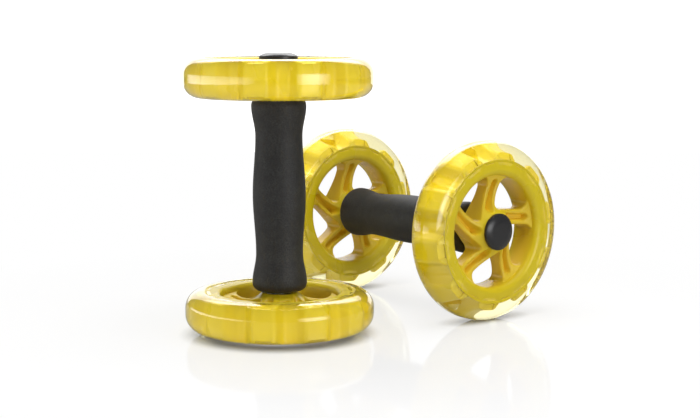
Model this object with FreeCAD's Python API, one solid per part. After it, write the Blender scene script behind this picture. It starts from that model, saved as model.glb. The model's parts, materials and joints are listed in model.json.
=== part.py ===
import FreeCAD, Part
import math
import os

os.makedirs("parts", exist_ok=True)

# A pair of dumbbell rollers in millimetres, +Z up. The upright roller stands on its lower hub
# cap with the origin under its axle. The floor roller lies on both tyres, its axle along X.

# Overall sizes of one roller
wheel_diameter = 145.0
wheel_width = 30.0
wheel_spacing = 178.0

# Place of the floor roller: its middle lies this far back along X and this far aside along Y
floor_roller_setback = 29.0
floor_roller_aside = 161.3

# Angle that the spokes are turned to about each axle
upright_top_spoke_angle = 56.0
upright_bottom_spoke_angle = 60.0
floor_near_spoke_angle = 100.0
floor_far_spoke_angle = 102.0

# Tyre, clear cast urethane
tyre_shoulder_radius = 12.5
tyre_depth_at_lobe = 9.5
tyre_depth_at_lip = 14.5
tyre_depth_between_lobes = 16.5

# Rim of the wheel core
rim_face_inset = 0.6
rim_wall = 10.5
barrel_draft = 1.0
barrel_lip_round = 5.0

# Lobes that key the tyre to the rim, and the notches that lock it sideways
lobe_count = 10
lobe_top_angle = 16.0
lobe_root_angle = 28.0
lobe_round = 5.0
lobe_root_round = 6.0
lobe_end_round = 2.0
notch_width = 11.5
notch_depth = 2.0

# Spokes, channels that are open to both sides and pass the axle on one side of it
spoke_count = 5
spoke_width = 12.4
spoke_offset = 11.4
spoke_root_height = 26.0
spoke_waist_height = 12.0
spoke_tip_height = 26.0
spoke_waist_place_share = 0.5
spoke_web_thickness = 2.6
spoke_edge_round = 1.4
groove_floor_width = 3.0
groove_draft_angle = 15.0
groove_hub_gap = 4.0
groove_rim_gap = 4.2
window_inner_round = 3.0
window_outer_round = 6.5

# Hub
hub_inner_end_inset = 1.5
hub_cap_overhang = 0.4
hub_end_round = 0.8
bearing_shoulder = 2.0

# Ball bearings, two in each wheel
bearing_bore = 8.0
bearing_diameter = 22.0
bearing_width = 7.0
bearing_ring_wall = 2.05
inner_bearing_inset = 2.0
bearing_gap = 6.5
ball_count = 7
ball_diameter = 3.97
ball_clearance = 0.03
cage_clearance = 0.05
cage_wall = 1.8
cage_back = 0.8
cage_front = 0.7

# Axle and what is stacked on it
sleeve_wall = 1.8
washer_diameter = 16.0
washer_thickness = 1.6
nut_across_flats = 13.0
nut_height = 6.2
nut_chamfer = 0.7
axle_end_past_nut = 0.7
axle_chamfer = 0.6

# Hub cap
cap_diameter = 29.5
cap_axle_clearance = 0.8
cap_wall = 1.8
cap_dome_rise = 2.4
cap_flat_diameter = 14.0
cap_skirt_depth = 4.5
cap_skirt_wall = 1.6
cap_bearing_gap = 2.0
cap_edge_round = 0.7

# Handle
tube_diameter = 25.4
tube_wall = 1.5
plug_flange = 1.5
plug_length = 14.0
grip_flare_diameter = 42.0
grip_waist_diameter = 36.0
grip_belly_diameter = 40.5
grip_waist_offset = 45.0
grip_end_round = 6.0

# Overrun of every cutting body
overrun = 1.0

full_turn = 360.0
quarter_turn = full_turn / 4
hexagon_sides = 6
centre = FreeCAD.Vector(0, 0, 0)
axis_y = FreeCAD.Vector(0, 1, 0)
axis_z = FreeCAD.Vector(0, 0, 1)

# Places along the axle, measured outward from a wheel's middle plane
half_width = wheel_width / 2
rim_half_width = half_width - rim_face_inset
hub_inner_end = hub_inner_end_inset - half_width
inner_bearing_start = inner_bearing_inset - half_width
inner_bearing_end = inner_bearing_start + bearing_width
outer_bearing_start = inner_bearing_end + bearing_gap
outer_bearing_end = outer_bearing_start + bearing_width
hub_outer_end = outer_bearing_end + cap_bearing_gap + cap_skirt_depth
washer_end = outer_bearing_end + washer_thickness
nut_end = washer_end + nut_height
axle_end = nut_end + axle_end_past_nut
cap_ceiling = axle_end + cap_axle_clearance
cap_top = cap_ceiling + cap_wall

# Radii of a wheel, from the tread inward
wheel_radius = wheel_diameter / 2
lobe_radius = wheel_radius - tyre_depth_at_lobe
lip_radius = wheel_radius - tyre_depth_at_lip
floor_radius = wheel_radius - tyre_depth_between_lobes
mouth_radius = floor_radius - rim_wall
waist_radius = mouth_radius - barrel_draft
shoulder_radius = min(tyre_shoulder_radius, half_width, tyre_depth_at_lip)
cap_radius = cap_diameter / 2
hub_radius = cap_radius - hub_cap_overhang
bearing_radius = bearing_diameter / 2
axle_radius = bearing_bore / 2
inner_land_radius = axle_radius + bearing_ring_wall
outer_land_radius = bearing_radius - bearing_ring_wall
pitch_radius = (inner_land_radius + outer_land_radius) / 2
ball_radius = ball_diameter / 2
sleeve_radius = axle_radius + sleeve_wall

# Handle sizes, measured from the roller's middle
half_spacing = wheel_spacing / 2
grip_half_length = half_spacing - half_width
tube_half_length = grip_half_length - plug_flange
tube_radius = tube_diameter / 2
tube_inner_radius = tube_radius - tube_wall
upright_middle = half_spacing + cap_top


def at(radius, height):
    return FreeCAD.Vector(radius, 0, height)


def polar(radius, angle):
    # A point of an outline in the XY plane.
    turn = math.radians(angle)
    return FreeCAD.Vector(radius * math.cos(turn), radius * math.sin(turn), 0)


def line(start, end):
    return Part.LineSegment(start, end).toShape()


def arc(start, middle, end):
    return Part.Arc(start, middle, end).toShape()


def corner(pivot, radius, first_angle, last_angle):
    # An arc of a section about a pivot, angles counted from the radial direction toward +Z.
    points = []
    for angle in (first_angle, (first_angle + last_angle) / 2, last_angle):
        turn = math.radians(angle)
        points.append(pivot + at(radius * math.cos(turn), radius * math.sin(turn)))
    return arc(*points)


def chain(points):
    return [line(start, end) for start, end in zip(points, points[1:])]


def spun(edges):
    # A closed section in the XZ plane turned about the axle.
    face = Part.Face(Part.Wire(Part.__sortEdges__(edges)))
    return face.revolve(centre, axis_z, full_turn)


def spun_outline(points):
    return spun(chain(points + [points[0]]))


def sleeve(outer, inner, start, end):
    # A plain tube along the axle between two places.
    return spun_outline([at(inner, start), at(outer, start), at(outer, end), at(inner, end)])


def around(shape, count, first_angle=0):
    # Copies of a shape evenly about the axle.
    copies = []
    for index in range(count):
        copy = shape.copy()
        copy.rotate(centre, axis_z, first_angle + index * full_turn / count)
        copies.append(copy)
    return copies


def mirrored(shape):
    return shape.mirror(centre, axis_z)


def raised(edges, start, end):
    # A closed outline in the XY plane drawn out along the axle.
    face = Part.Face(Part.Wire(Part.__sortEdges__(edges)))
    face.translate(axis_z * start)
    return face.extrude(axis_z * (end - start))


def distance_from_axle(edge):
    middle = edge.CenterOfMass
    return math.hypot(middle.x, middle.y)


def lengthwise_edges(solid):
    # Edges that run along the axle, the nearest to the axle first.
    edges = [edge for edge in solid.Edges if edge.BoundBox.ZLength > rim_half_width]
    return sorted(edges, key=distance_from_axle)


def lobed_outline():
    # The rim seen along the axle: lobes with sloping flanks, and a floor between them.
    pitch = full_turn / lobe_count
    top = lobe_top_angle / 2
    root = lobe_root_angle / 2
    edges = []
    for index in range(lobe_count):
        middle = index * pitch
        start = polar(lobe_radius, middle - top)
        end = polar(lobe_radius, middle + top)
        foot = polar(floor_radius, middle + root)
        next_foot = polar(floor_radius, middle + pitch - root)
        edges.append(line(polar(floor_radius, middle - root), start))
        edges.append(arc(start, polar(lobe_radius, middle), end))
        edges.append(line(end, foot))
        edges.append(arc(foot, polar(floor_radius, middle + pitch / 2), next_foot))
    return edges


def rim():
    # The lobed rim with soft corners, and a barrel through it with a drawn-in waist and round lips.
    block = raised(lobed_outline(), -rim_half_width, rim_half_width)
    block = block.makeFillet(lobe_round, lengthwise_edges(block)[-2 * lobe_count:])
    block = block.makeFillet(lobe_root_round, lengthwise_edges(block)[:2 * lobe_count])
    end_edges = [edge for edge in block.Edges if edge.BoundBox.ZLength < lobe_end_round]
    block = block.makeFillet(lobe_end_round, end_edges)
    low_lip = at(mouth_radius, -rim_half_width)
    high_lip = at(mouth_radius, rim_half_width)
    past = at(0, overrun)
    ends = [high_lip, high_lip + past, at(0, rim_half_width) + past]
    ends += [at(0, -rim_half_width) - past, low_lip - past, low_lip]
    ring = block.cut(spun([arc(low_lip, at(waist_radius, 0), high_lip)] + chain(ends)))
    lips = []
    for edge in ring.Edges:
        level = edge.BoundBox.ZLength < barrel_lip_round
        if level and edge.BoundBox.XMax < (mouth_radius + floor_radius) / 2:
            lips.append(edge)
    return ring.makeFillet(barrel_lip_round, lips)


def lobe_notch():
    # A slot in the outer end of a lobe, open toward the tread.
    height = lobe_radius - lip_radius + overrun
    block = Part.makeBox(height, notch_width, notch_depth + overrun)
    block.translate(FreeCAD.Vector(lip_radius, -notch_width / 2, rim_half_width - notch_depth))
    return block


def dish():
    # Hub cone, spokes and rim flare as one hollow-faced disc.
    inner = (bearing_radius + hub_radius) / 2
    outer = (mouth_radius + floor_radius) / 2
    waist_place = hub_radius + spoke_waist_place_share * (waist_radius - hub_radius)
    root = at(hub_radius, spoke_root_height / 2)
    waist = at(waist_place, spoke_waist_height / 2)
    tip = at(outer, spoke_tip_height / 2)
    upper = [arc(root, waist, tip)]
    upper += chain([at(inner, root.z), root])
    lower = [mirrored(edge) for edge in upper]
    ends = chain([at(inner, -root.z), at(inner, root.z)])
    ends += chain([at(outer, -tip.z), at(outer, tip.z)])
    return spun(upper + lower + ends)


def window():
    # The space from one side of a spoke to the near side of the next, its corners rounded.
    pitch = full_turn / spoke_count
    near_side = spoke_offset + spoke_width / 2
    far_side = spoke_offset - spoke_width / 2
    start_angle = math.degrees(math.asin(near_side / mouth_radius))
    end_angle = pitch + math.degrees(math.asin(far_side / mouth_radius))
    turn = math.radians(pitch)
    point = FreeCAD.Vector((near_side * math.cos(turn) - far_side) / math.sin(turn), near_side, 0)
    first = polar(mouth_radius, start_angle)
    middle = polar(mouth_radius, (start_angle + end_angle) / 2)
    last = polar(mouth_radius, end_angle)
    prism = raised(chain([last, point, first]) + [arc(first, middle, last)], -half_width, half_width)
    prism = prism.makeFillet(window_inner_round, lengthwise_edges(prism)[:1])
    return prism.makeFillet(window_outer_round, lengthwise_edges(prism)[-2:])


def slot_outline(start, end, width, height):
    # A closed slot with round ends along the spoke, at a height over the wheel's middle plane.
    half = width / 2
    first = FreeCAD.Vector(start + half, half, height)
    second = FreeCAD.Vector(end - half, half, height)
    third = FreeCAD.Vector(second.x, -half, height)
    fourth = FreeCAD.Vector(first.x, -half, height)
    outer_end = arc(second, FreeCAD.Vector(end, 0, height), third)
    inner_end = arc(fourth, FreeCAD.Vector(start, 0, height), first)
    return Part.Wire([line(first, second), outer_end, line(third, fourth), inner_end])


def along_spoke(radius):
    # How far along a spoke's middle line a distance from the axle is reached.
    return math.sqrt(radius * radius - spoke_offset * spoke_offset)


def spoke_groove():
    # The open side of a spoke's channel, its walls and ends leaning outward from the web.
    floor = spoke_web_thickness / 2
    flare = (half_width - floor) * math.tan(math.radians(groove_draft_angle))
    start = along_spoke(hub_radius + groove_hub_gap)
    end = along_spoke(waist_radius - groove_rim_gap)
    bottom = slot_outline(start, end, groove_floor_width, floor)
    top = slot_outline(start - flare, end + flare, groove_floor_width + 2 * flare, half_width)
    groove = Part.makeLoft([bottom, top], True)
    groove.translate(axis_y * spoke_offset)
    return groove


def spokes():
    # The disc with windows between the spokes, channels in both faces and soft edges,
    # turned until a spoke meets the barrel under a lobe.
    disc = dish()
    cuts = around(window(), spoke_count)
    cuts += around(spoke_groove(), spoke_count)
    cuts += around(mirrored(spoke_groove()), spoke_count)
    disc = disc.cut(cuts)
    level = (spoke_web_thickness + spoke_waist_height) / 4
    rib_edges = []
    for edge in disc.Edges:
        box = edge.BoundBox
        between = hub_radius + groove_hub_gap / 2 < distance_from_axle(edge) < waist_radius
        if between and (box.ZMin > level or box.ZMax < -level):
            rib_edges.append(edge)
    disc = disc.makeFillet(spoke_edge_round, rib_edges)
    disc.rotate(centre, axis_z, -math.degrees(math.asin(spoke_offset / waist_radius)))
    return disc


def hub():
    # The boss before boring, its ends rounded.
    boss = Part.makeCylinder(hub_radius, hub_outer_end - hub_inner_end, at(0, hub_inner_end), axis_z)
    rims = [edge for edge in boss.Edges if edge.BoundBox.ZLength < hub_end_round]
    return boss.makeFillet(hub_end_round, rims)


def hub_bores():
    # Two bearing seats with a shoulder between them.
    shoulder_bore = bearing_radius - bearing_shoulder
    bottom = hub_inner_end - overrun
    top = hub_outer_end + overrun
    return spun_outline([
        at(0, bottom), at(bearing_radius, bottom), at(bearing_radius, inner_bearing_end),
        at(shoulder_bore, inner_bearing_end), at(shoulder_bore, outer_bearing_start),
        at(bearing_radius, outer_bearing_start), at(bearing_radius, top), at(0, top)])


def wheel_core():
    core = rim().fuse([spokes(), hub()])
    notches = around(lobe_notch(), lobe_count) + around(mirrored(lobe_notch()), lobe_count)
    core = core.cut(notches + [hub_bores()])
    return core.removeSplitter()


def tyre(core):
    # Round-shouldered ring cast about the rim, so that its inside is the rim's own shape.
    inner = (mouth_radius + floor_radius) / 2
    side = wheel_radius - shoulder_radius
    crown = half_width - shoulder_radius
    high_side = [at(inner, rim_half_width), at(lip_radius, rim_half_width), at(lip_radius, half_width)]
    if side > lip_radius:
        high_side.append(at(side, half_width))
    edges = chain(high_side)
    edges += [mirrored(edge) for edge in edges]
    edges.append(corner(at(side, crown), shoulder_radius, 0, quarter_turn))
    edges.append(mirrored(edges[-1]))
    edges += chain([at(inner, -rim_half_width), at(inner, rim_half_width)])
    if crown > 0:
        edges += chain([at(wheel_radius, -crown), at(wheel_radius, crown)])
    return spun(edges).cut(core)


def hub_cap():
    # A shallow dome with a flat middle, and a skirt that plugs into the hub's outer bore.
    flat = cap_flat_diameter / 2
    fall = cap_radius - flat
    dome_radius = (fall * fall + cap_dome_rise * cap_dome_rise) / (2 * cap_dome_rise)
    dome_turn = math.degrees(math.asin(fall / dome_radius))
    skirt_end = hub_outer_end - cap_skirt_depth
    skirt_inner = bearing_radius - cap_skirt_wall
    edge_height = cap_top - cap_dome_rise
    dome = corner(at(flat, cap_top - dome_radius), dome_radius, quarter_turn - dome_turn, quarter_turn)
    rest = [at(cap_radius, edge_height), at(cap_radius, hub_outer_end), at(bearing_radius, hub_outer_end),
            at(bearing_radius, skirt_end), at(skirt_inner, skirt_end), at(skirt_inner, cap_ceiling),
            at(0, cap_ceiling), at(0, cap_top), at(flat, cap_top)]
    cap = spun([dome] + chain(rest))
    brims = []
    for edge in cap.Edges:
        box = edge.BoundBox
        if box.ZLength < cap_edge_round and abs(box.ZMax - edge_height) < cap_dome_rise / 2:
            brims.append(edge)
    return cap.makeFillet(cap_edge_round, brims)


def race_groove():
    # The ring of space that the balls run in.
    return Part.makeTorus(pitch_radius, ball_radius + ball_clearance)


def outer_race():
    half = bearing_width / 2
    return sleeve(bearing_radius, outer_land_radius, -half, half).cut(race_groove())


def inner_race():
    half = bearing_width / 2
    return sleeve(inner_land_radius, axle_radius, -half, half).cut(race_groove())


def ball():
    return Part.makeSphere(ball_radius, FreeCAD.Vector(pitch_radius, 0, 0))


def ball_cage():
    # A crown that holds the balls apart, with a ring behind them.
    pocket_radius = ball_radius + cage_clearance
    pocket = Part.makeSphere(pocket_radius, FreeCAD.Vector(pitch_radius, 0, 0))
    back = -pocket_radius - cage_back
    crown = sleeve(pitch_radius + cage_wall / 2, pitch_radius - cage_wall / 2, back, cage_front)
    return crown.cut(around(pocket, ball_count))


def in_both_bearings(shapes):
    # The same pieces in the inner and the outer bearing of a wheel.
    copies = []
    for start in (inner_bearing_start, outer_bearing_start):
        for shape in shapes:
            copy = shape.copy()
            copy.translate(axis_z * (start + bearing_width / 2))
            copies.append(copy)
    return Part.makeCompound(copies)


def lock_nut():
    # A hexagon with its corners turned off at both ends.
    corner_radius = nut_across_flats / 2 / math.cos(math.pi / hexagon_sides)
    outline = []
    for index in range(hexagon_sides + 1):
        turn = math.radians(index * full_turn / hexagon_sides)
        outline.append(FreeCAD.Vector(corner_radius * math.cos(turn), corner_radius * math.sin(turn), 0))
    hexagon = raised(chain(outline), washer_end, nut_end)
    face_radius = corner_radius - nut_chamfer
    low = washer_end + nut_chamfer / 2
    high = nut_end - nut_chamfer / 2
    turned = spun_outline([
        at(axle_radius, washer_end), at(face_radius, washer_end), at(corner_radius, low),
        at(corner_radius, high), at(face_radius, nut_end), at(axle_radius, nut_end)])
    return hexagon.common(turned)


def end_plug():
    # A flanged bush in the tube's end that centres the axle.
    flange_face = -half_width
    seat = flange_face - plug_flange
    return spun_outline([
        at(axle_radius, flange_face), at(tube_radius, flange_face), at(tube_radius, seat),
        at(tube_inner_radius, seat), at(tube_inner_radius, seat - plug_length),
        at(axle_radius, seat - plug_length)])


def wheel_pieces():
    # Everything at one end of a roller, outward along +Z from the wheel's middle plane.
    core = wheel_core()
    return {
        "wheel_core": core,
        "tyre": tyre(core),
        "hub_cap": hub_cap(),
        "bearing_outer_races": in_both_bearings([outer_race()]),
        "bearing_inner_races": in_both_bearings([inner_race()]),
        "bearing_balls": in_both_bearings(around(ball(), ball_count)),
        "bearing_cages": in_both_bearings([ball_cage()]),
        "bearing_spacer": sleeve(sleeve_radius, axle_radius, inner_bearing_end, outer_bearing_start),
        "collar": sleeve(sleeve_radius, axle_radius, -half_width, inner_bearing_start),
        "washer": sleeve(washer_diameter / 2, axle_radius, outer_bearing_end, washer_end),
        "lock_nut": lock_nut(),
        "end_plug": end_plug(),
    }


def axle_rod():
    end = half_spacing + axle_end
    tip = axle_radius - axle_chamfer
    return spun_outline([
        at(0, -end), at(tip, -end), at(axle_radius, axle_chamfer - end),
        at(axle_radius, end - axle_chamfer), at(tip, end), at(0, end)])


def foam_grip():
    # A contoured sleeve: flared round ends, two waists and a belly for the palm.
    flare = grip_flare_diameter / 2
    waist = grip_waist_diameter / 2
    shoulder = grip_half_length - grip_end_round
    contour = Part.BSplineCurve()
    contour.interpolate(
        Points=[at(flare, -shoulder), at(waist, -grip_waist_offset), at(grip_belly_diameter / 2, 0),
                at(waist, grip_waist_offset), at(flare, shoulder)],
        InitialTangent=axis_z, FinalTangent=axis_z)
    pivot = at(flare - grip_end_round, shoulder)
    high_end = corner(pivot, grip_end_round, 0, quarter_turn)
    face_edge = at(pivot.x, grip_half_length)
    bore = chain([face_edge, at(tube_radius, grip_half_length), at(tube_radius, -grip_half_length),
                  at(pivot.x, -grip_half_length)])
    return spun([contour.toShape(), high_end, mirrored(high_end)] + bore)


def handle_pieces():
    return {
        "foam_grip": foam_grip(),
        "handle_tube": sleeve(tube_radius, tube_inner_radius, -tube_half_length, tube_half_length),
        "axle_rod": axle_rod(),
    }


def roller_pieces(ends):
    # One roller about its own middle, axle along Z, with a wheel at each end. The second wheel
    # mirrors the first, so from one end the spokes of both lean the same way round.
    pieces = handle_pieces()
    for name, shape in wheel_pieces().items():
        for end, (spoke_angle, outward) in ends.items():
            piece = shape.copy()
            if outward < 0:
                piece = mirrored(piece)
            piece.rotate(centre, axis_z, spoke_angle)
            piece.translate(axis_z * outward * half_spacing)
            pieces[end + "_" + name] = piece
    return pieces


def write_roller(roller, pieces, placement):
    for name, shape in pieces.items():
        shape.Placement = placement.multiply(shape.Placement)
        shape.exportStep("parts/" + roller + "_" + name + ".step")


upright_ends = {"top": (upright_top_spoke_angle, 1), "bottom": (upright_bottom_spoke_angle, -1)}
upright_place = FreeCAD.Placement(at(0, upright_middle), FreeCAD.Rotation())
write_roller("upright", roller_pieces(upright_ends), upright_place)

floor_ends = {"near": (floor_near_spoke_angle, 1), "far": (floor_far_spoke_angle, -1)}
floor_middle = FreeCAD.Vector(-floor_roller_setback, floor_roller_aside, wheel_radius)
floor_place = FreeCAD.Placement(floor_middle, FreeCAD.Rotation(axis_y, quarter_turn))
write_roller("floor", roller_pieces(floor_ends), floor_place)
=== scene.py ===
import json
import math
import bpy
from mathutils import Matrix, Vector


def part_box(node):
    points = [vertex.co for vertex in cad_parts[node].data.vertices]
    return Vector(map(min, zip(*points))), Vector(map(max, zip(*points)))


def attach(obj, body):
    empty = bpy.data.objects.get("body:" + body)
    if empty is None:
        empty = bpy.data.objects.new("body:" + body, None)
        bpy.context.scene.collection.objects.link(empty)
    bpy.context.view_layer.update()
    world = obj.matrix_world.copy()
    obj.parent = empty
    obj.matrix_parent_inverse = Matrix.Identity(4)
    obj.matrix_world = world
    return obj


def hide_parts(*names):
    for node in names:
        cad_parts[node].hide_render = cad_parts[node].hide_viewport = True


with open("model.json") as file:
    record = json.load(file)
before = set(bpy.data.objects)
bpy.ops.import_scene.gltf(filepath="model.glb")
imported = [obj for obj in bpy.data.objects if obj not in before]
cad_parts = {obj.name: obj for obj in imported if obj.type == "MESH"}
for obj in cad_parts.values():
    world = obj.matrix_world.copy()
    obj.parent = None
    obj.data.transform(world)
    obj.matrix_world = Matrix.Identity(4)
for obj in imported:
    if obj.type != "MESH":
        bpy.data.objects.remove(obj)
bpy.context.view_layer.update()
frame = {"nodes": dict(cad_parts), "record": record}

nodes = frame["nodes"]
mm = 0.001
fullTurn = 2 * math.pi
upward = Vector((0, 0, 1))
# how near a vertex lies to the place it is picked by, and how near doubles lie in a turned skin
touch = 0.1 * mm
turnedMerge = 0.02 * mm
print("stage: frame loaded,", len(nodes), "nodes")


def smooth(share):
    return 0.5 - 0.5 * math.cos(math.pi * max(0, min(1, share)))


def clearSelection():
    if bpy.context.object and bpy.context.object.mode != "OBJECT":
        bpy.ops.object.mode_set(mode="OBJECT")
    bpy.ops.object.select_all(action="DESELECT")


def pickOnly(piece):
    clearSelection()
    piece.select_set(True)
    bpy.context.view_layer.objects.active = piece


def applyPlace():
    bpy.ops.object.transform_apply(location=True, rotation=True, scale=True)


def addSection(inner, wide, low, tall):
    # a rectangle in the XZ plane, the start of a turned section
    clearSelection()
    bpy.ops.mesh.primitive_plane_add(size=1, rotation=(math.pi / 2, 0, 0))
    piece = bpy.context.object
    piece.scale = (wide, tall, 1)
    piece.location = (inner + wide / 2, 0, low + tall / 2)
    applyPlace()
    return piece


def setVerts(piece, test):
    # edit-mode selection by place: only the vertices that pass the test
    bpy.ops.object.mode_set(mode="OBJECT")
    for part in (piece.data.polygons, piece.data.edges):
        part.foreach_set("select", [False] * len(part))
    for vert in piece.data.vertices:
        vert.select = bool(test(vert.co))
    bpy.ops.object.mode_set(mode="EDIT")
    bpy.ops.mesh.select_mode(type="VERT")


def roundCorners(radius, steps):
    bpy.ops.mesh.bevel(offset=radius, segments=steps, affect="VERTICES", profile=0.5)


def spinSection(piece, steps):
    # the section's outline turned about Z into a closed skin
    bpy.ops.object.mode_set(mode="EDIT")
    bpy.ops.mesh.select_all(action="SELECT")
    bpy.ops.mesh.dissolve_faces()
    bpy.ops.mesh.delete(type="ONLY_FACE")
    bpy.ops.mesh.select_all(action="SELECT")
    bpy.ops.mesh.spin(steps=steps, angle=fullTurn, center=(0, 0, 0), axis=(0, 0, 1))
    bpy.ops.mesh.select_all(action="SELECT")
    bpy.ops.mesh.remove_doubles(threshold=turnedMerge)
    bpy.ops.mesh.normals_make_consistent(inside=False)
    bpy.ops.object.mode_set(mode="OBJECT")


def shadeSmooth(degrees):
    bpy.ops.object.shade_smooth_by_angle(angle=math.radians(degrees))


def placeCopy(master, name, place):
    # a copy with its own mesh, its place put into the mesh
    piece = master.copy()
    piece.data = master.data.copy()
    piece.name = name
    piece.data.name = name
    bpy.context.scene.collection.objects.link(piece)
    pickOnly(piece)
    piece.matrix_world = place
    applyPlace()
    return piece


def placeAlong(node, axle):
    # the node's middle, with Z turned to the axle
    low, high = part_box(node)
    turn = upward.rotation_difference(axle).to_matrix().to_4x4()
    return Matrix.Translation((low + high) / 2) @ turn


# the four wheels: prefix of their node names, and the axle's direction outward
wheels = {
    "upright_top": Vector((0, 0, 1)),
    "upright_bottom": Vector((0, 0, -1)),
    "floor_near": Vector((1, 0, 0)),
    "floor_far": Vector((-1, 0, 0)),
}


def wheelPlace(prefix):
    return placeAlong(prefix + "_tyre", wheels[prefix])


# material helpers
def newMaterial(name):
    material = bpy.data.materials.new(name)
    material.use_nodes = True
    tree = material.node_tree
    shader = tree.nodes["Principled BSDF"]
    coords = tree.nodes.new("ShaderNodeTexCoord")
    return material, tree, shader, coords.outputs["Object"]


def stageMaterial(name):
    material = bpy.data.materials.new(name)
    material.use_nodes = True
    tree = material.node_tree
    tree.nodes.clear()
    surface = tree.nodes.new("ShaderNodeOutputMaterial").inputs["Surface"]
    return material, tree, surface


def addNoise(tree, coords, scale, detail=3, roughness=0.55):
    noise = tree.nodes.new("ShaderNodeTexNoise")
    noise.inputs["Scale"].default_value = scale
    noise.inputs["Detail"].default_value = detail
    noise.inputs["Roughness"].default_value = roughness
    tree.links.new(coords, noise.inputs["Vector"])
    return noise.outputs["Fac"]


def addRange(tree, value, low, high, fromLow=0.3, fromHigh=0.7):
    ramp = tree.nodes.new("ShaderNodeMapRange")
    ramp.inputs["From Min"].default_value = fromLow
    ramp.inputs["From Max"].default_value = fromHigh
    ramp.inputs["To Min"].default_value = low
    ramp.inputs["To Max"].default_value = high
    tree.links.new(value, ramp.inputs["Value"])
    return ramp.outputs["Result"]


def mathNode(tree, operation, first, second):
    node = tree.nodes.new("ShaderNodeMath")
    node.operation = operation
    for socket, value in zip(node.inputs, (first, second)):
        if isinstance(value, (int, float)):
            socket.default_value = value
        else:
            tree.links.new(value, socket)
    return node.outputs[0]


def addMix(tree, factor, first, second):
    mix = tree.nodes.new("ShaderNodeMix")
    mix.data_type = "RGBA"
    tree.links.new(factor, mix.inputs["Factor"])
    for key, colour in (("A", first), ("B", second)):
        socket = [s for s in mix.inputs if s.name == key and s.type == "RGBA"][0]
        if isinstance(colour, tuple):
            socket.default_value = (*colour, 1)
        else:
            tree.links.new(colour, socket)
    return [s for s in mix.outputs if s.type == "RGBA"][0]


def addBump(tree, shader, height, strength, distance):
    bump = tree.nodes.new("ShaderNodeBump")
    bump.inputs["Strength"].default_value = strength
    bump.inputs["Distance"].default_value = distance
    tree.links.new(height, bump.inputs["Height"])
    tree.links.new(bump.outputs["Normal"], shader.inputs["Normal"])


# core: moulded yellow, with painted shade: more orange deep inside the barrel, where shade falls
coreLook = {
    "bright": (0.80, 0.64, 0.012),
    "deep": (0.73, 0.56, 0.008),
    # painted shade colour, laid on deep inside the barrel
    "inside": (0.91, 0.63, 0.040),
    "cloudScale": 22,
    "roughLow": 0.22,
    "roughHigh": 0.34,
    "grainScale": 1400,
    "grainDetail": 2,
    "grainStrength": 0.06,
    "grainHeight": 0.2 * mm,
}


def makeCoreYellow():
    material, tree, shader, coords = newMaterial("moulded_yellow")
    clouds = addNoise(tree, coords, coreLook["cloudScale"])
    colour = addMix(tree, addRange(tree, clouds, 0, 1), coreLook["bright"], coreLook["deep"])
    # painted shade: the barrel's depths take the more orange inside colour
    depth = tree.nodes.new("ShaderNodeAttribute")
    depth.attribute_name = "depth"
    colour = addMix(tree, depth.outputs["Fac"], colour, coreLook["inside"])
    tree.links.new(colour, shader.inputs["Base Color"])
    grain = addNoise(tree, coords, coreLook["grainScale"], coreLook["grainDetail"])
    rough = addRange(tree, clouds, coreLook["roughLow"], coreLook["roughHigh"])
    tree.links.new(rough, shader.inputs["Roughness"])
    addBump(tree, shader, grain, coreLook["grainStrength"], coreLook["grainHeight"])
    return material


# tyre: clear, with a gloss coat and a yellow that grows with depth
tyreLook = {
    "tint": (1.0, 0.99, 0.94),
    "absorb": (0.96, 0.88, 0.08),
    "density": 17,
    "ior": 1.3,
    "roughLow": 0.03,
    "roughHigh": 0.06,
    "rippleScale": 60,
    "rippleDetail": 1,
    "rippleStrength": 0.05,
    "rippleHeight": 0.5 * mm,
}


def makeClearUrethane():
    material, tree, shader, coords = newMaterial("clear_urethane")
    shader.inputs["Base Color"].default_value = (*tyreLook["tint"], 1)
    shader.inputs["Transmission Weight"].default_value = 1
    shader.inputs["IOR"].default_value = tyreLook["ior"]
    shader.inputs["Coat Weight"].default_value = 1
    shader.inputs["Coat Roughness"].default_value = tyreLook["roughLow"]
    ripple = addNoise(tree, coords, tyreLook["rippleScale"], tyreLook["rippleDetail"])
    rough = addRange(tree, ripple, tyreLook["roughLow"], tyreLook["roughHigh"])
    tree.links.new(rough, shader.inputs["Roughness"])
    addBump(tree, shader, ripple, tyreLook["rippleStrength"], tyreLook["rippleHeight"])
    absorb = tree.nodes.new("ShaderNodeVolumeAbsorption")
    absorb.inputs["Color"].default_value = (*tyreLook["absorb"], 1)
    absorb.inputs["Density"].default_value = tyreLook["density"]
    tree.links.new(absorb.outputs["Volume"], tree.nodes["Material Output"].inputs["Volume"])
    return material


# hub cap: satin black
capLook = {
    "dark": (0.018, 0.018, 0.020),
    "pale": (0.028, 0.028, 0.030),
    "roughLow": 0.22,
    "roughHigh": 0.32,
    "grainScale": 2200,
    "grainDetail": 2,
    "grainStrength": 0.25,
    "grainHeight": 0.1 * mm,
}


def makeCapBlack():
    material, tree, shader, coords = newMaterial("satin_black")
    grain = addNoise(tree, coords, capLook["grainScale"], capLook["grainDetail"])
    colour = addMix(tree, addRange(tree, grain, 0, 1), capLook["dark"], capLook["pale"])
    tree.links.new(colour, shader.inputs["Base Color"])
    rough = addRange(tree, grain, capLook["roughLow"], capLook["roughHigh"])
    tree.links.new(rough, shader.inputs["Roughness"])
    addBump(tree, shader, grain, capLook["grainStrength"], capLook["grainHeight"])
    return material


# grip: black foam with fine cells and wider blotches
foamLook = {
    "dark": (0.012, 0.012, 0.0125),
    "pale": (0.056, 0.056, 0.057),
    "cellScale": 900,
    "cellDetail": 3,
    "cellBreakup": 0.6,
    "cellFrom": 0.35,
    "cellTo": 0.75,
    "cellStrength": 0.7,
    "cellHeight": 0.25 * mm,
    "blotchScale": 120,
    "blotchDetail": 2,
    "blotchShare": 0.5,
    "roughLow": 0.50,
    "roughHigh": 0.70,
}


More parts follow.
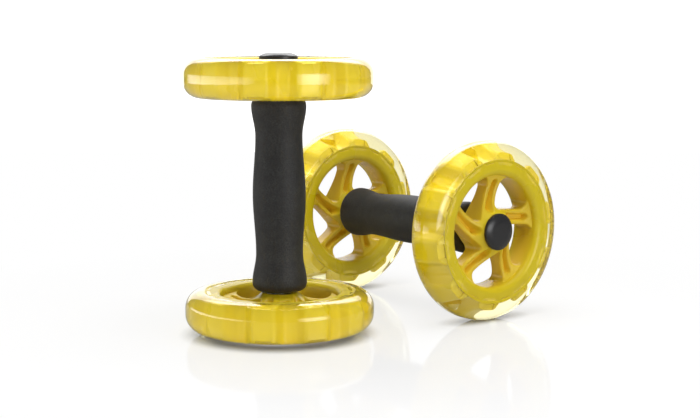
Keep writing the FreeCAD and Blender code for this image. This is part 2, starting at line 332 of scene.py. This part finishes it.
def makeGripFoam():
    material, tree, shader, coords = newMaterial("grip_foam")
    cells = addNoise(tree, coords, foamLook["cellScale"], foamLook["cellDetail"], foamLook["cellBreakup"])
    blotch = addNoise(tree, coords, foamLook["blotchScale"], foamLook["blotchDetail"])
    pores = addRange(tree, cells, 0, 1, foamLook["cellFrom"], foamLook["cellTo"])
    speckle = addMix(tree, pores, foamLook["dark"], foamLook["pale"])
    worn = addRange(tree, blotch, 0, foamLook["blotchShare"])
    colour = addMix(tree, worn, speckle, foamLook["dark"])
    tree.links.new(colour, shader.inputs["Base Color"])
    rough = addRange(tree, cells, foamLook["roughLow"], foamLook["roughHigh"])
    tree.links.new(rough, shader.inputs["Roughness"])
    addBump(tree, shader, cells, foamLook["cellStrength"], foamLook["cellHeight"])
    return material


# pieces behind the grip and the caps: colour, metallic, roughness, grain scale
innerLook = {
    "tube_steel": ((0.50, 0.50, 0.50), 1.0, 0.38, 700),
    "bright_steel": ((0.62, 0.62, 0.60), 1.0, 0.28, 900),
    "bearing_steel": ((0.68, 0.68, 0.68), 1.0, 0.16, 900),
    "plug_plastic": ((0.030, 0.030, 0.030), 0.0, 0.50, 1500),
    "cage_plastic": ((0.55, 0.50, 0.40), 0.0, 0.45, 1500),
}
innerGrain = {"detail": 2, "darkShare": 0.8, "roughSpread": 0.12, "strength": 0.1, "height": 0.05 * mm}


def makeInner(slot):
    tone, metallic, rough, grainScale = innerLook[slot]
    material, tree, shader, coords = newMaterial(slot)
    grain = addNoise(tree, coords, grainScale, innerGrain["detail"])
    darker = tuple(innerGrain["darkShare"] * channel for channel in tone)
    tree.links.new(addMix(tree, addRange(tree, grain, 0, 1), tone, darker), shader.inputs["Base Color"])
    spread = addRange(tree, grain, rough, rough + innerGrain["roughSpread"])
    tree.links.new(spread, shader.inputs["Roughness"])
    shader.inputs["Metallic"].default_value = metallic
    addBump(tree, shader, grain, innerGrain["strength"], innerGrain["height"])
    return material


finishes = {
    "core_yellow": makeCoreYellow(),
    "clear_urethane": makeClearUrethane(),
    "cap_black": makeCapBlack(),
    "grip_foam": makeGripFoam(),
}
for slot in innerLook:
    finishes[slot] = makeInner(slot)
slotOf = {entry["node"]: entry["material_slot"] for entry in frame["record"]["subparts"]}
for name, node in nodes.items():
    node.data.materials.clear()
    node.data.materials.append(finishes[slotOf[name]])
print("stage: finishes made")


def dress(piece, slot, body, *replaced):
    piece.data.materials.clear()
    piece.data.materials.append(finishes[slot])
    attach(piece, body)
    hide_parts(*replaced)


# cores and caps: the CAD shape with its triangles merged, so that round faces shade smooth
shellLook = {
    "wheel_core": {"word": "core", "smoothDegrees": 40},
    "hub_cap": {"word": "cap", "smoothDegrees": 30},
}
shellMerge = 0.004 * mm


def makeShell(prefix, node):
    look = shellLook[node]
    cad = nodes[prefix + "_" + node]
    shell = cad.copy()
    shell.data = cad.data.copy()
    shell.name = prefix + "_" + look["word"]
    shell.parent = None
    for key in list(shell.keys()):
        del shell[key]
    bpy.context.scene.collection.objects.link(shell)
    pickOnly(shell)
    bpy.ops.object.mode_set(mode="EDIT")
    bpy.ops.mesh.select_all(action="SELECT")
    bpy.ops.mesh.remove_doubles(threshold=shellMerge)
    bpy.ops.mesh.customdata_custom_splitnormals_clear()
    bpy.ops.object.mode_set(mode="OBJECT")
    if node == "wheel_core":
        finishCore(shell, prefix)
    shadeSmooth(look["smoothDegrees"])
    dress(shell, slotOf[prefix + "_" + node], prefix + "_wheel", prefix + "_" + node)


# core: a lip ring closes the front of the gaps between lobes, and lobe ends lie deeper in the tyre
coreSize = {
    "ringOut": 58 * mm,
    "ringIn": 55.4 * mm,
    "ringFront": 14.4 * mm,
    "ringBack": 11.5 * mm,
    "ringRound": 1.1 * mm,
    "ringRoundSteps": 4,
    "steps": 160,
    "lobeFrom": 57.6 * mm,
    "lobeTo": 60 * mm,
    "lobeShare": 0.16,
    # where the painted shade lies: inside the barrel radii, and growing towards the middle plane
    "barrelIn": 50 * mm,
    "barrelOut": 55 * mm,
    "paintedShadeFrom": 15.5 * mm,
    "paintedShadeTo": 1.5 * mm,
}


def makeRing():
    inner = coreSize["ringIn"]
    front = coreSize["ringFront"]
    tall = front - coreSize["ringBack"]
    piece = addSection(inner, coreSize["ringOut"] - inner, coreSize["ringBack"], tall)
    setVerts(piece, lambda co: co.z > front - touch and co.x < inner + touch)
    roundCorners(coreSize["ringRound"], coreSize["ringRoundSteps"])
    spinSection(piece, coreSize["steps"])
    return piece


def sinkLobes(shell, place):
    back = place.inverted()
    for vert in shell.data.vertices:
        local = back @ vert.co
        radius = math.hypot(local.x, local.y)
        reach = (radius - coreSize["lobeFrom"]) / (coreSize["lobeTo"] - coreSize["lobeFrom"])
        local.z = local.z * (1 - coreSize["lobeShare"] * smooth(reach))
        vert.co = place @ local


def markPaintedShade(shell, place):
    # painted shade: 0 on the faces that show, 1 deep inside the barrel, where shade falls
    back = place.inverted()
    depth = shell.data.attributes.new("depth", "FLOAT", "POINT")
    for vert in shell.data.vertices:
        local = back @ vert.co
        radius = math.hypot(local.x, local.y)
        inside = smooth((coreSize["barrelOut"] - radius) / (coreSize["barrelOut"] - coreSize["barrelIn"]))
        sunk = (coreSize["paintedShadeFrom"] - abs(local.z)) / (coreSize["paintedShadeFrom"] - coreSize["paintedShadeTo"])
        depth.data[vert.index].value = inside * smooth(sunk)


def finishCore(shell, prefix):
    place = wheelPlace(prefix)
    sinkLobes(shell, place)
    rings = []
    for turn in (0, math.pi):
        rings.append(placeCopy(ringMaster, prefix + "_ring", place @ Matrix.Rotation(turn, 4, "X")))
    pickOnly(shell)
    for ring in rings:
        ring.select_set(True)
    bpy.ops.object.join()
    markPaintedShade(shell, place)


ringMaster = makeRing()
for prefix in wheels:
    for node in shellLook:
        makeShell(prefix, node)
bpy.data.objects.remove(ringMaster)
print("stage: cores and caps smoothed")

# tyre: clear ring whose inside is sunk a little into the rim
tyreSize = {
    "rimRadius": 58 * mm,
    "shoulder": 12.4 * mm,
    "shoulderSteps": 14,
    "lipRound": 0.5 * mm,
    "lipRoundSteps": 4,
    "sunkDepth": 0.5 * mm,
    "sunkSide": 0.75 * mm,
    "innerRadius": 53.5 * mm,
    "steps": 160,
    "smoothDegrees": 40,
}


def makeTyre():
    low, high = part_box("upright_top_tyre")
    outer = (high.x - low.x) / 2
    half = (high.z - low.z) / 2
    rim = tyreSize["rimRadius"]
    lip = tyreSize["lipRound"]
    piece = addSection(rim, outer - rim, -half, 2 * half)
    setVerts(piece, lambda co: co.x > outer - lip)
    roundCorners(tyreSize["shoulder"], tyreSize["shoulderSteps"])
    setVerts(piece, lambda co: co.x < rim + lip)
    sink = {"value": (-tyreSize["sunkDepth"], 0, 0)}
    bpy.ops.mesh.extrude_region_move(TRANSFORM_OT_translate=sink)
    shrink = (half - tyreSize["sunkSide"]) / half
    bpy.ops.transform.resize(value=(1, 1, shrink), center_override=(0, 0, 0))
    inward = {"value": (tyreSize["innerRadius"] - rim + tyreSize["sunkDepth"], 0, 0)}
    bpy.ops.mesh.extrude_region_move(TRANSFORM_OT_translate=inward)
    setVerts(piece, lambda co: abs(co.x - rim) < touch and abs(co.z) > half - lip)
    roundCorners(lip, tyreSize["lipRoundSteps"])
    spinSection(piece, tyreSize["steps"])
    shadeSmooth(tyreSize["smoothDegrees"])
    return piece


tyreMaster = makeTyre()
for prefix in wheels:
    tyre = placeCopy(tyreMaster, prefix + "_clear_tyre", wheelPlace(prefix))
    dress(tyre, "clear_urethane", prefix + "_wheel", prefix + "_tyre")
bpy.data.objects.remove(tyreMaster)
print("stage: tyres spun")

# foam grip: contoured sleeve, the same waists and belly as the CAD solid
gripSize = {
    "flare": 21.0 * mm,
    "waist": 18.0 * mm,
    "belly": 20.25 * mm,
    "bore": 12.75 * mm,
    "waistOffset": 45 * mm,
    "endRound": 6 * mm,
    "endRoundSteps": 10,
    "cuts": 90,
    "steps": 128,
    "smoothDegrees": 50,
}


def gripRadius(height, shoulder):
    away = abs(height)
    if away < gripSize["waistOffset"]:
        share = away / gripSize["waistOffset"]
        return gripSize["belly"] + (gripSize["waist"] - gripSize["belly"]) * smooth(share)
    share = (away - gripSize["waistOffset"]) / (shoulder - gripSize["waistOffset"])
    return gripSize["waist"] + (gripSize["flare"] - gripSize["waist"]) * smooth(share)


def makeGrip():
    low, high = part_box("upright_foam_grip")
    half = (high.z - low.z) / 2
    shoulder = half - gripSize["endRound"]
    piece = addSection(gripSize["bore"], gripSize["flare"] - gripSize["bore"], -half, 2 * half)
    outside = gripSize["flare"] - touch
    setVerts(piece, lambda co: co.x > outside)
    roundCorners(gripSize["endRound"], gripSize["endRoundSteps"])
    setVerts(piece, lambda co: co.x > outside and abs(co.z) < shoulder + touch)
    bpy.ops.mesh.subdivide(number_cuts=gripSize["cuts"])
    bpy.ops.object.mode_set(mode="OBJECT")
    for vert in piece.data.vertices:
        if vert.co.x > outside and abs(vert.co.z) <= shoulder:
            vert.co.x = gripRadius(vert.co.z, shoulder)
    spinSection(piece, gripSize["steps"])
    shadeSmooth(gripSize["smoothDegrees"])
    return piece


gripMaster = makeGrip()
gripAxles = {"upright": Vector((0, 0, 1)), "floor": Vector((1, 0, 0))}
for roller, axle in gripAxles.items():
    grip = placeCopy(gripMaster, roller + "_grip", placeAlong(roller + "_foam_grip", axle))
    dress(grip, "grip_foam", roller + "_handle", roller + "_foam_grip")
bpy.data.objects.remove(gripMaster)
print("stage: grips spun")


def anyRay(tree, *names):
    # 1 for the kinds of ray that are named
    rays = tree.nodes.new("ShaderNodeLightPath")
    total = rays.outputs[names[0]]
    for name in names[1:]:
        total = mathNode(tree, "MAXIMUM", total, rays.outputs[name])
    return total


def mixShaders(tree, factor, first, second):
    mix = tree.nodes.new("ShaderNodeMixShader")
    tree.links.new(factor, mix.inputs["Fac"])
    tree.links.new(first.outputs[0], mix.inputs[1])
    tree.links.new(second.outputs[0], mix.inputs[2])
    return mix


# floor: plain white far off, with lamp shadows, a painted contact shadow under the wheels and a faint
# mirror image round the rollers
floorLook = {
    "size": 12,
    "middle": (0.05, 0.06, 0),
    "plainLeast": 0.62,
    "plainFrom": 0.20,
    "plainTo": 0.48,
    "white": (0.88, 0.88, 0.88),
    "unseen": (0.40, 0.39, 0.37),
    "gloss": 0.32,
    "glossFrom": 0.12,
    "glossTo": 0.34,
    "rough": 0.06,
    # the painted contact shadow: its reach, its ramp and its darkest share
    "contactReach": 18 * mm,
    "contactFrom": 0.1,
    "contactTo": 0.75,
    "contactLeast": 0.12,
    "contactEnd": 0.96,
}


def paintedContactShadow(tree, away):
    # painted contact shadow: least close under a wheel, and 1 in the open, far off and where it shows
    # through a tyre
    look = floorLook
    under = tree.nodes.new("ShaderNodeAmbientOcclusion")
    under.inputs["Distance"].default_value = look["contactReach"]
    clear = under.outputs["AO"]
    opened = addRange(tree, clear, look["contactLeast"], 1, look["contactFrom"], look["contactTo"])
    farOff = addRange(tree, away, 0, 1, look["plainTo"], look["contactEnd"])
    opened = mathNode(tree, "MAXIMUM", opened, farOff)
    return mathNode(tree, "MAXIMUM", opened, anyRay(tree, "Is Transmission Ray"))


def makeFloor():
    clearSelection()
    bpy.ops.mesh.primitive_plane_add(size=floorLook["size"])
    floor = bpy.context.object
    floor.name = "white_floor"
    material, tree, surface = stageMaterial("white_floor")
    coords = tree.nodes.new("ShaderNodeTexCoord")
    distance = tree.nodes.new("ShaderNodeVectorMath")
    distance.operation = "DISTANCE"
    distance.inputs[1].default_value = floorLook["middle"]
    tree.links.new(coords.outputs["Object"], distance.inputs[0])
    away = distance.outputs["Value"]
    opened = paintedContactShadow(tree, away)
    matte = tree.nodes.new("ShaderNodeBsdfDiffuse")
    # painted contact shadow: the matte colour runs towards black close under a wheel
    tree.links.new(addMix(tree, opened, (0, 0, 0), floorLook["white"]), matte.inputs["Color"])
    gloss = tree.nodes.new("ShaderNodeBsdfGlossy")
    gloss.inputs["Roughness"].default_value = floorLook["rough"]
    mirror = addRange(tree, away, floorLook["gloss"], 0, floorLook["glossFrom"], floorLook["glossTo"])
    lit = mixShaders(tree, mirror, matte, gloss)
    plain = tree.nodes.new("ShaderNodeEmission")
    fade = addRange(tree, away, floorLook["plainLeast"], 1, floorLook["plainFrom"], floorLook["plainTo"])
    # the plain white glow is cut by the painted contact shadow as well
    seen = mixShaders(tree, mathNode(tree, "MULTIPLY", fade, opened), lit, plain)
    unseen = tree.nodes.new("ShaderNodeBsdfDiffuse")
    unseen.inputs["Color"].default_value = (*floorLook["unseen"], 1)
    final = mixShaders(tree, anyRay(tree, "Is Camera Ray", "Is Transmission Ray"), unseen, seen)
    tree.links.new(final.outputs[0], surface)
    floor.data.materials.append(material)


makeFloor()

# softboxes: place, size, power, and whether they light matt surfaces and show in glossy ones
lamps = {
    "overhead": {
        "place": (0.15, 0.0, 1.7),
        "size": (2.6, 2.6),
        "power": 89,
        "lights": True,
        "mirrored": False,
    },
    "leftStrip": {
        "place": (-0.75, -1.25, 0.08),
        "size": (4.4, 0.40),
        "power": 18,
        "lights": True,
        "mirrored": True,
    },
    "rightBox": {
        "place": (1.6, 0.15, 0.30),
        "size": (1.3, 0.90),
        "power": 20,
        "lights": True,
        "mirrored": True,
    },
    "backTop": {
        "place": (-0.90, 0.80, 1.15),
        "size": (2.2, 0.8),
        "power": 17,
        "lights": False,
        "mirrored": True,
    },
}
aim = Vector((-0.02, 0.08, 0.1))


def softenEdges(data):
    # full in the middle of the box and none at its edges
    data.use_nodes = True
    tree = data.node_tree
    across = tree.nodes.new("ShaderNodeNewGeometry")
    parts = tree.nodes.new("ShaderNodeSeparateXYZ")
    tree.links.new(across.outputs["Parametric"], parts.inputs[0])
    fullEach = 4
    level = fullEach * fullEach
    for place in (parts.outputs["X"], parts.outputs["Y"]):
        fall = mathNode(tree, "MULTIPLY", place, mathNode(tree, "SUBTRACT", 1, place))
        level = mathNode(tree, "MULTIPLY", level, fall)
    tree.links.new(level, tree.nodes["Emission"].inputs["Strength"])


def makeLamp(name):
    look = lamps[name]
    data = bpy.data.lights.new(name, "AREA")
    data.shape = "RECTANGLE"
    data.size, data.size_y = look["size"]
    data.energy = look["power"]
    softenEdges(data)
    lamp = bpy.data.objects.new(name, data)
    lamp.location = look["place"]
    lamp.rotation_euler = (aim - lamp.location).to_track_quat("-Z", "Y").to_euler()
    lamp.visible_diffuse = look["lights"]
    lamp.visible_glossy = look["mirrored"]
    bpy.context.scene.collection.objects.link(lamp)


for name in lamps:
    makeLamp(name)

# white backdrop behind the rollers, a dark room round them
backdropLook = {"place": (-1.25, 1.12, 1.2), "size": (2.1, 2.4), "level": 1.35, "room": 0.14}


def makeBackdrop():
    clearSelection()
    facing = aim - Vector(backdropLook["place"])
    facing.z = 0
    turn = facing.to_track_quat("Z", "Y").to_euler()
    bpy.ops.mesh.primitive_plane_add(size=1, location=backdropLook["place"], rotation=turn)
    backdrop = bpy.context.object
    backdrop.name = "white_backdrop"
    backdrop.scale = (*backdropLook["size"], 1)
    applyPlace()
    material, tree, surface = stageMaterial("white_backdrop")
    glow = tree.nodes.new("ShaderNodeEmission")
    glow.inputs["Strength"].default_value = backdropLook["level"]
    tree.links.new(glow.outputs[0], surface)
    backdrop.data.materials.append(material)
    backdrop.visible_diffuse = False


makeBackdrop()


def makeWorld():
    world = bpy.data.worlds.new("dark_room")
    bpy.context.scene.world = world
    world.use_nodes = True
    tree = world.node_tree
    room = tree.nodes["Background"]
    room.inputs["Color"].default_value = (1, 1, 1, 1)
    room.inputs["Strength"].default_value = backdropLook["room"]
    seen = tree.nodes.new("ShaderNodeBackground")
    seen.inputs["Color"].default_value = (1, 1, 1, 1)
    seen.inputs["Strength"].default_value = 1
    final = mixShaders(tree, anyRay(tree, "Is Camera Ray", "Is Transmission Ray"), room, seen)
    tree.links.new(final.outputs[0], tree.nodes["World Output"].inputs["Surface"])


makeWorld()
print("stage: floor and lights set")

# camera, from the photograph's perspective: focal length in pixels of a 700 pixel wide picture
cameraLook = {
    "place": (0.9139, -0.6821, 0.2352),
    "turn": 0.6886,
    "dip": 0.1213,
    "focalPixels": 1500,
    "width": 700,
    "sensor": 36,
}


def makeCamera():
    data = bpy.data.cameras.new("camera")
    data.sensor_width = cameraLook["sensor"]
    data.lens = cameraLook["sensor"] * cameraLook["focalPixels"] / cameraLook["width"]
    camera = bpy.data.objects.new("camera", data)
    camera.location = cameraLook["place"]
    camera.rotation_euler = (math.pi / 2 - cameraLook["dip"], 0, math.pi / 2 - cameraLook["turn"])
    bpy.context.scene.collection.objects.link(camera)
    bpy.context.scene.camera = camera


makeCamera()
bpy.context.scene.view_settings.view_transform = "Standard"
print("stage: camera set")
